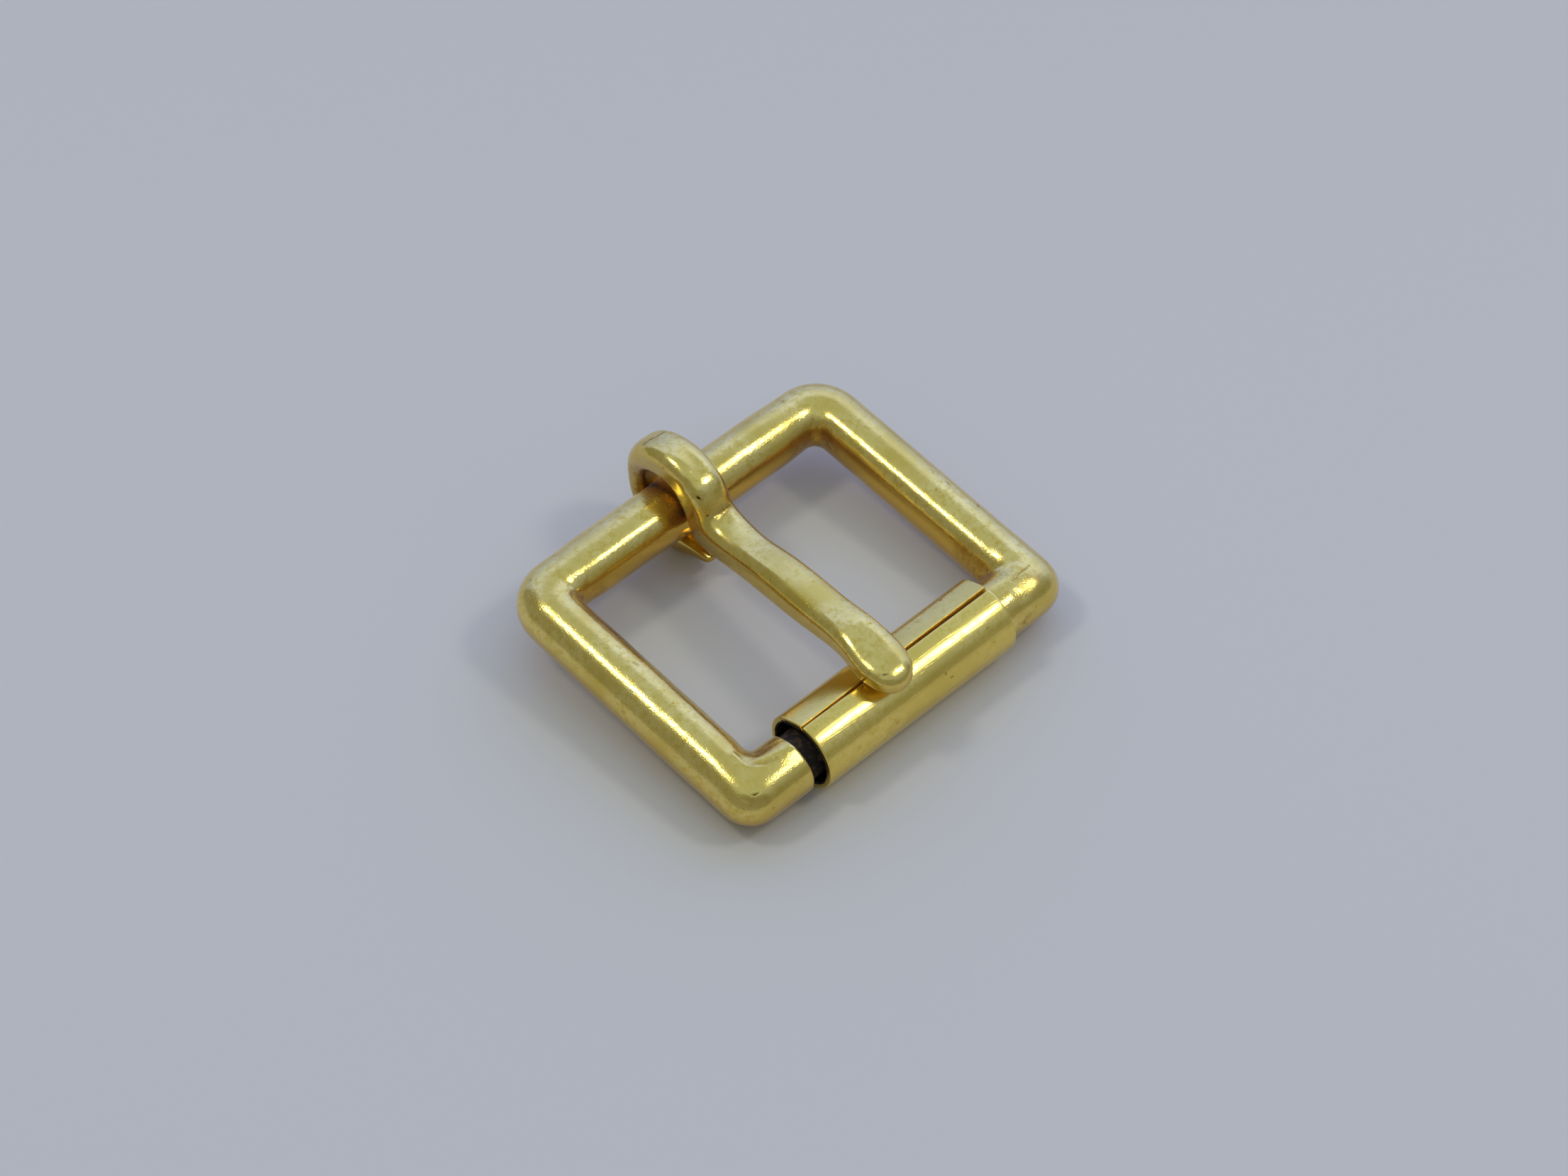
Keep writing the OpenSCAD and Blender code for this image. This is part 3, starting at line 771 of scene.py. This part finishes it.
def shadeBlackMaterial():
    material, tree, shader = newMaterial("brass painted black for shade")
    place = addNode(tree, "ShaderNodeTexCoord").outputs["Object"]
    crust = addNode(tree, "ShaderNodeTexNoise", {"Scale": 1 / blackBrass["crustSize"], "Detail": 5},
                    {"Vector": place}).outputs["Fac"]
    thin = addNode(tree, "ShaderNodeMapRange", {"From Min": 0.5, "From Max": 0.72}, {"Value": crust})
    colour = addNode(tree, "ShaderNodeMix", {6: linear(blackBrass["dark"]), 7: linear(blackBrass["brown"])},
                     {0: thin.outputs[0]}, data_type="RGBA")
    bump = addNode(tree, "ShaderNodeBump", {"Distance": blackBrass["crustDepth"]}, {"Height": crust})
    tree.links.new(colour.outputs[2], shader.inputs["Base Color"])
    tree.links.new(bump.outputs["Normal"], shader.inputs["Normal"])
    shader.inputs["Roughness"].default_value = blackBrass["roughness"]
    shader.inputs["Metallic"].default_value = blackBrass["metal"]
    return material


def dress(piece, material):
    piece.data.materials.clear()
    piece.data.materials.append(material)


def dressWhere(piece, material, rule):
    # one more finish, on the faces that the rule picks
    piece.data.materials.append(material)
    piece.active_material_index = len(piece.data.materials) - 1
    openForEditing(piece)
    selectWhere(piece, "FACE", rule)
    bpy.ops.object.material_slot_assign()
    bpy.ops.object.mode_set(mode="OBJECT")


def fromRollerAxis(face):
    middle = face.calc_center_median() - rollerAt
    return math.hypot(middle.y, middle.z)


# Where the other finishes lie: the black painted shade on the core and in the bore, the sheared one on the
# strip's end
limits = {
    "inwards": 6 * mm,            # the black starts this far from the middle along the bar
    "coreWithin": 4 * mm,         # from the roller's axis
    "pastShoulder": 0.03 * mm,    # the black takes in the stub's end face
    "boreUnder": 0.62,            # share of the sheet's thickness, from its outside
    "seamFacing": -0.35,
    "seamAbove": 2.4 * mm,        # from the roller's axis
    "seamWithin": 0.8 * mm,
}
coreEnd = castFrame["stubEnd"] + limits["pastShoulder"]
boreFrom = rollerAt.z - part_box("roller")[0].z - limits["boreUnder"] * sheetRoller["wall"]


def isCore(face):
    along = abs(face.calc_center_median().x)
    return limits["inwards"] < along < coreEnd and fromRollerAxis(face) < limits["coreWithin"]


def isBore(face):
    return abs(face.calc_center_median().x) > limits["inwards"] and fromRollerAxis(face) < boreFrom


def isShearedEnd(face):
    middle = face.calc_center_median() - rollerAt
    atSeam = middle.z > limits["seamAbove"] and abs(middle.y) < limits["seamWithin"]
    return atSeam and face.normal.y < limits["seamFacing"]


dress(castFramePiece, brassMaterial("tumbled cast brass", castBrass))
dress(castTonguePiece, brassMaterial("handled cast brass", handledBrass))
dress(sheetRollerPiece, brassMaterial("rolled brass sheet", sheetBrass))
paintedInsideShade = shadeBlackMaterial()
dressWhere(castFramePiece, paintedInsideShade, isCore)
dressWhere(sheetRollerPiece, paintedInsideShade, isBore)
dressWhere(sheetRollerPiece, brassMaterial("sheared brass edge", shearedBrass), isShearedEnd)
print("materials on")


# Floor, lamps, surroundings and camera

studio = {
    "floorSize": 1.6,
    "floorColour": "#DAD3C3",
    "floorRoughness": 0.9,
    "lampDistance": 0.5,
    "lampSize": 0.09,
    "lampPower": 0.25,
    "lampLeft": (-46, 60),        # degrees from +Y towards +X, and above the floor
    "lampRight": (133, 53),
    "room": (0.27, 0.29, 0.285, 1),
    "ceiling": (0.48, 0.58, 0.72, 1),
    "ceilingHeights": (0.66, 0.86),     # as the sine of the height above the floor
    "glow": (0.38, 0.46, 0.68, 1),      # the room round the right lamp
    "glowCloseness": (0.75, 0.96),      # as the cosine of the angle from the lamp
    "windowLow": (0.45, 0.58, 1.36, 1),
    "windowHigh": (0.69, 0.86, 1.72, 1),
    "windowSides": (-8, 104),     # degrees from +Y towards +X
    "windowTop": 52,
    "windowSoft": 3,              # degrees; the right side is four times as soft
    "windowSwing": (0.9, 1.17),   # how bright the window is, against its own colours, at the next two angles
    "windowSwingAngles": (30, 65),
}
camera = {
    "at": Vector((-154.09, -164.14, 272.20)) * mm,
    "down": 50.015,               # degrees below level
    "around": 43.363,             # degrees from +Y towards +X
    "lens": 102.73,
    "sensor": 36,
}


def direction(around, above):
    a, b = math.radians(around), math.radians(above)
    return Vector((math.sin(a) * math.cos(b), math.cos(a) * math.cos(b), math.sin(b)))


def addFloor():
    startAlone()
    bpy.ops.mesh.primitive_plane_add(size=studio["floorSize"])
    piece = bpy.context.object
    piece.name = "floor"
    # painted board: even and pale, with soft shadows and no shine
    material, tree, shader = newMaterial("pale matt board")
    shader.inputs["Base Color"].default_value = linear(studio["floorColour"])
    shader.inputs["Roughness"].default_value = studio["floorRoughness"]
    dress(piece, material)


def addLamp(name, around, above):
    startAlone()
    toLamp = direction(around, above)
    bpy.ops.object.light_add(type="AREA", location=toLamp * studio["lampDistance"])
    lamp = bpy.context.object
    lamp.name = name
    lamp.data.shape = "DISK"
    lamp.data.size = studio["lampSize"]
    lamp.data.energy = studio["lampPower"]
    lamp.rotation_euler = toLamp.to_track_quat("Z", "Y").to_euler()


def addSurroundings():
    # a pale room with a broad bright window behind the buckle
    world = bpy.data.worlds.new("studio room")
    bpy.context.scene.world = world
    world.use_nodes = True
    tree = world.node_tree
    look = addNode(tree, "ShaderNodeTexCoord").outputs["Generated"]
    axes = addNode(tree, "ShaderNodeSeparateXYZ", links={0: look}).outputs
    around = addNode(tree, "ShaderNodeMath", links={0: axes["X"], 1: axes["Y"]},
                     operation="ARCTAN2").outputs[0]
    toLamp = addNode(tree, "ShaderNodeVectorMath", {1: direction(*studio["lampRight"])}, {0: look},
                     operation="DOT_PRODUCT").outputs["Value"]
    left, right = [math.radians(angle) for angle in studio["windowSides"]]
    top, soft = math.radians(studio["windowTop"]), math.radians(studio["windowSoft"])
    shares = []
    for value, low, high in ((around, left - soft, left + soft), (around, right + 4 * soft, right - 4 * soft),
                             (axes["Z"], math.sin(top + soft), math.sin(top - soft)),
                             (axes["Z"], 0.0, math.sin(top)), (axes["Z"], *studio["ceilingHeights"]),
                             (toLamp, *studio["glowCloseness"])):
        share = addNode(tree, "ShaderNodeMapRange", {"From Min": low, "From Max": high}, {"Value": value},
                        interpolation_type="SMOOTHSTEP")
        shares.append(share.outputs["Result"])
    leftSide, rightSide, below, upWindow, upRoom, nearLamp = shares
    between = addNode(tree, "ShaderNodeMath", links={0: leftSide, 1: rightSide}, operation="MULTIPLY")
    inWindow = addNode(tree, "ShaderNodeMath", links={0: between.outputs[0], 1: below}, operation="MULTIPLY")
    swingFrom, swingTo = [math.radians(angle) for angle in studio["windowSwingAngles"]]
    dimmest, brightest = studio["windowSwing"]
    swing = addNode(tree, "ShaderNodeMapRange", {"From Min": swingFrom, "From Max": swingTo,
                                                 "To Min": dimmest, "To Max": brightest}, {"Value": around})
    glass = addNode(tree, "ShaderNodeMix", {6: studio["windowLow"], 7: studio["windowHigh"]}, {0: upWindow},
                    data_type="RGBA")
    window = addNode(tree, "ShaderNodeVectorMath", links={0: glass.outputs[2], "Scale": swing.outputs[0]},
                     operation="SCALE")
    walls = addNode(tree, "ShaderNodeMix", {6: studio["room"], 7: studio["glow"]}, {0: nearLamp},
                    data_type="RGBA")
    room = addNode(tree, "ShaderNodeMix", {7: studio["ceiling"]}, {0: upRoom, 6: walls.outputs[2]},
                   data_type="RGBA")
    colour = addNode(tree, "ShaderNodeMix", data_type="RGBA",
                     links={0: inWindow.outputs[0], 6: room.outputs[2], 7: window.outputs[0]})
    tree.links.new(colour.outputs[2], tree.nodes["Background"].inputs["Color"])


def addCamera():
    turned = (math.radians(90 - camera["down"]), 0, -math.radians(camera["around"]))
    bpy.ops.object.camera_add(location=camera["at"], rotation=turned)
    made = bpy.context.object
    made.data.lens = camera["lens"]
    made.data.sensor_width = camera["sensor"]
    made.data.clip_start = 0.01
    bpy.context.scene.camera = made


addFloor()
addLamp("left lamp", *studio["lampLeft"])
addLamp("right lamp", *studio["lampRight"])
addSurroundings()
addCamera()
bpy.context.scene.view_settings.view_transform = "Standard"
print("studio set")
